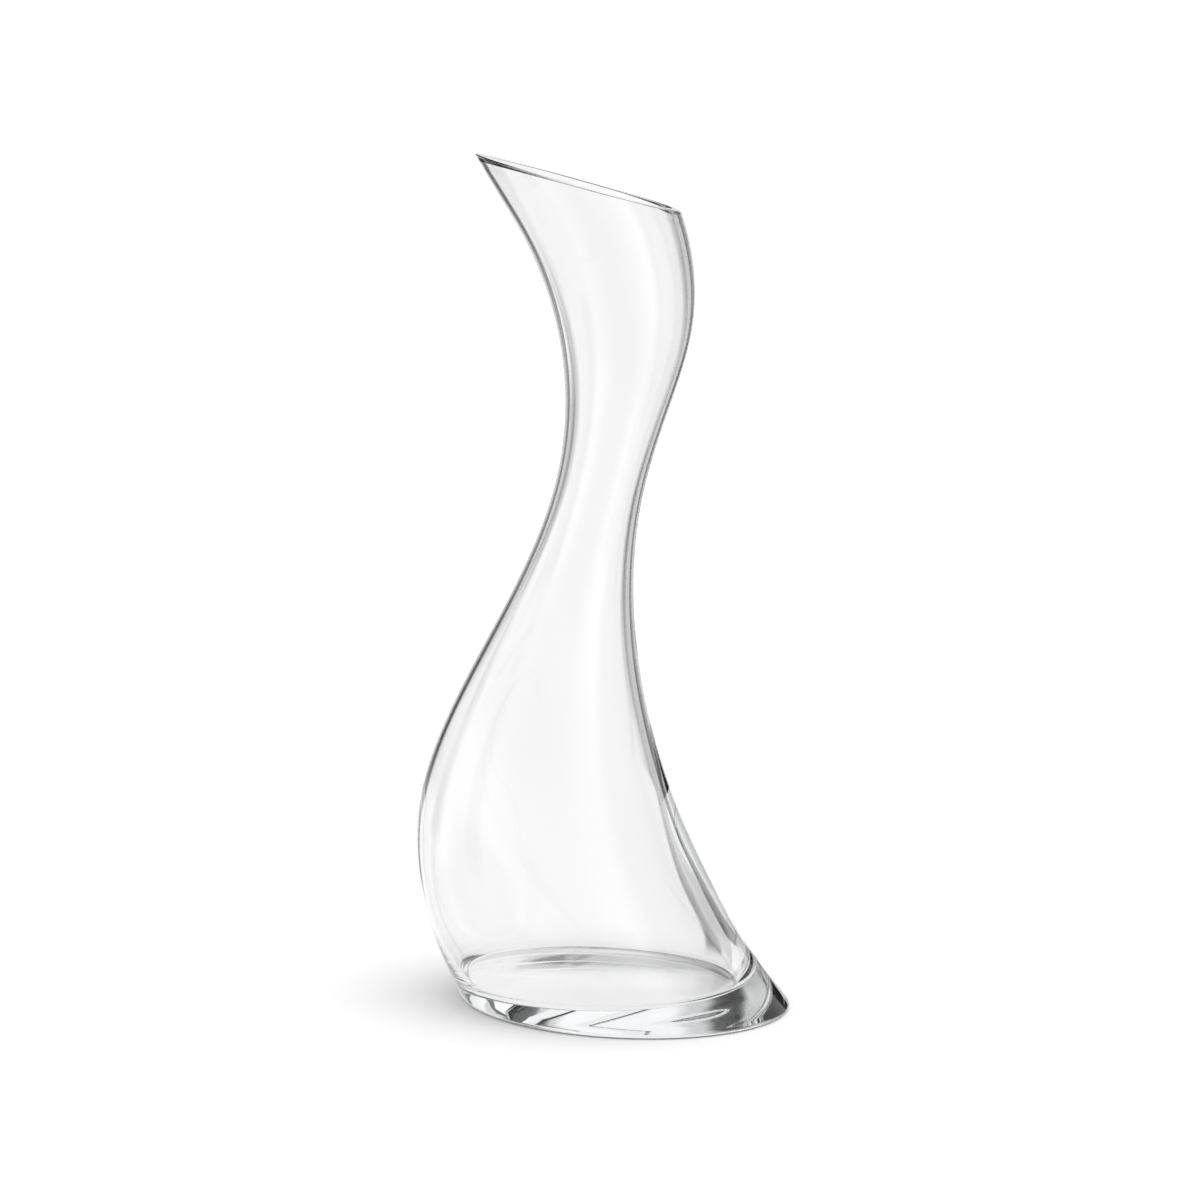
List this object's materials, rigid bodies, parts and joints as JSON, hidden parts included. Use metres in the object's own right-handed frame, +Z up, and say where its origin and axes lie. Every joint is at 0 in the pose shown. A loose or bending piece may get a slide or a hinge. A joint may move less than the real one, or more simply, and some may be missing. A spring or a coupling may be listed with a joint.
{
  "type": "wine decanter",
  "caption": "Clear glass wine decanter in one piece: a round weighted base, a bowl that leans forward, a narrow waist and a flared head cut on a slant to a pouring lip.",
  "frame": {"origin": "centre of the round face that it stands on", "axes": "+Z up; the pouring lip is towards -X and the heel towards +X; the left and right halves mirror across the XZ plane"},
  "size_m": [0.1343, 0.1176, 0.2997],
  "materials": {
    "glass": "clear, fire-polished"
  },
  "bodies": {
    "root": {"glass_body": "glass"}
  },
  "joints": []
}
